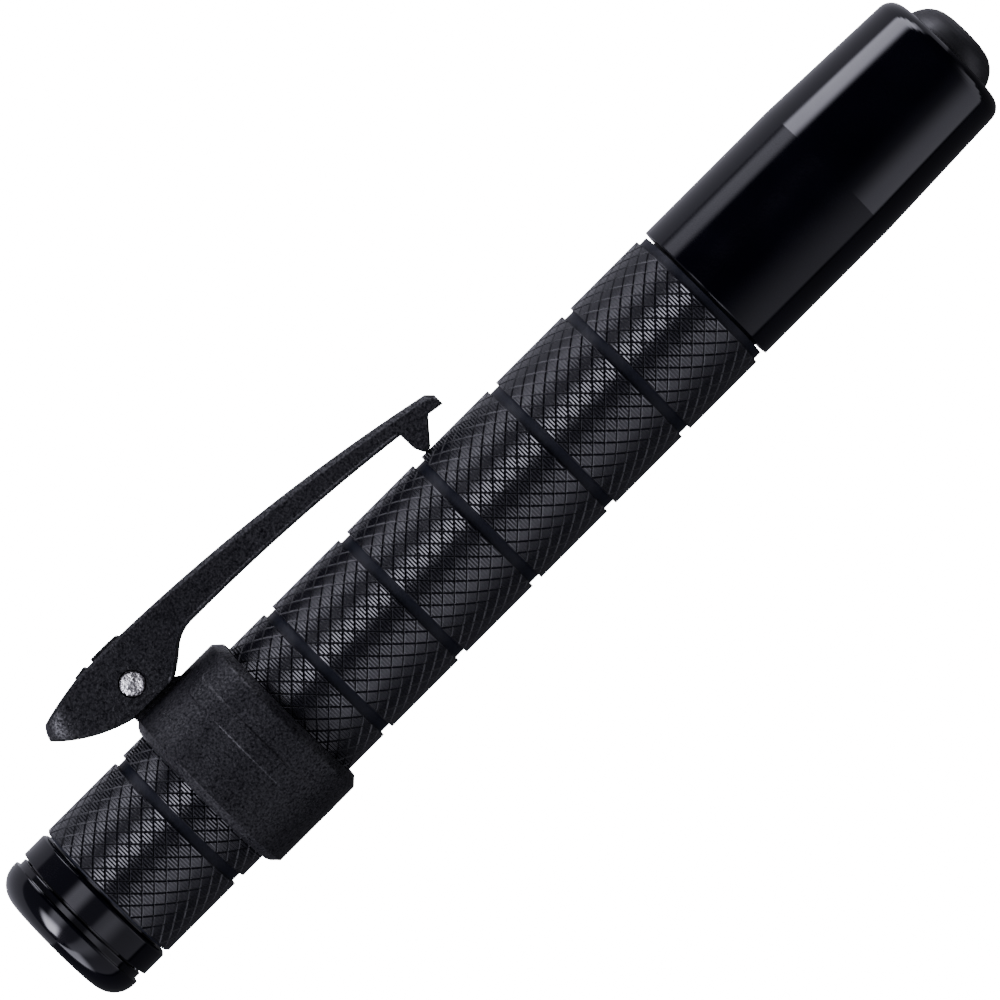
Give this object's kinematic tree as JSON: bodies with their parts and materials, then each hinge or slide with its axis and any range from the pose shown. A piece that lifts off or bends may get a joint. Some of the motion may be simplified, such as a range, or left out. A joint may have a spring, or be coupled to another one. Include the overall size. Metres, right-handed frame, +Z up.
{
  "type": "counterfeit detector pen",
  "caption": "Pen-sized ultraviolet torch for checking banknotes, with a knurled barrel, a sprung pocket clip on a turning collar and a tail button.",
  "frame": {"origin": "on the resting plane under the centre of the pen's box, lying on its side on its clip collar", "axes": "+X along the pen from the lens end to the tail button, +Y towards the pocket clip, +Z up"},
  "size_m": [0.1244, 0.0268, 0.0196],
  "materials": {
    "gloss_black": "smooth gloss black anodised",
    "knurled_black": "diamond knurled black anodised",
    "textured_plastic": "fine spark-eroded texture",
    "pad_plastic": "satin moulded",
    "black_rubber": "satin rubber",
    "clear_glass": "polished, clear",
    "bright_reflector": "vacuum-metallised, bright",
    "led_ceramic": "ceramic package with a clear dome",
    "board_mask": "green solder mask",
    "brass": "turned brass",
    "cell_wrap": "plain wrapped can",
    "bright_steel": "bright steel",
    "switch_plastic": "natural moulded plastic"
  },
  "bodies": {
    "body": {"barrel": "knurled_black", "bezel_ring": "gloss_black", "head_ring": "gloss_black", "lens": "clear_glass", "lens_seal": "black_rubber", "reflector": "bright_reflector", "led_emitter": "led_ceramic", "led_board": "board_mask", "led_holder": "brass", "driver_board": "board_mask", "driver_contact": "brass", "head_seal": "black_rubber", "battery_front": "cell_wrap", "battery_rear": "cell_wrap", "tail_seal": "black_rubber"},
    "collar": {"clip_collar": "textured_plastic", "pivot_pin": "bright_steel", "clip_spring": "bright_steel"},
    "lever": {"clip_lever": "textured_plastic", "thumb_pad": "pad_plastic"},
    "tail_core": {"switch_housing": "switch_plastic", "switch_board": "board_mask", "switch_retainer": "brass", "battery_spring": "bright_steel", "switch_spring": "bright_steel"},
    "tail_cap": {"tail_cap": "gloss_black"},
    "button": {"button_boot": "black_rubber", "switch_plunger": "switch_plastic"}
  },
  "joints": [
    {"name": "collar_turn", "type": "hinge", "parent": "body", "child": "collar", "pos_m": [-0.0361, -0.00358, 0.00979], "axis": [1, 0, 0], "continuous": true},
    {"name": "clip_press", "type": "hinge", "parent": "collar", "child": "lever", "pos_m": [-0.039, 0.00882, 0.00979], "axis": [0, 0, 1], "range_deg": [0, 10], "stiffness_Nm_per_rad": 0.17, "springref_deg": -6.88, "deforming": ["clip_spring"]},
    {"name": "tail_cap_advance", "type": "slide", "parent": "body", "child": "tail_core", "axis": [1, 0, 0], "range_m": [0, 0.0075], "deforming": ["battery_spring"]},
    {"name": "tail_cap_turn", "type": "hinge", "parent": "tail_core", "child": "tail_cap", "pos_m": [0.0428, -0.00358, 0.00979], "axis": [1, 0, 0], "range_deg": [0, 2160]},
    {"name": "button_press", "type": "slide", "parent": "tail_core", "child": "button", "axis": [-1, 0, 0], "range_m": [0, 0.0015], "stiffness_N_per_m": 2000, "springref_m": -0.00075, "deforming": ["switch_spring"]}
  ],
  "couplings": [
    {"joint": "tail_cap_turn", "follows": "tail_cap_advance", "rad_per_m": 5026.5}
  ]
}
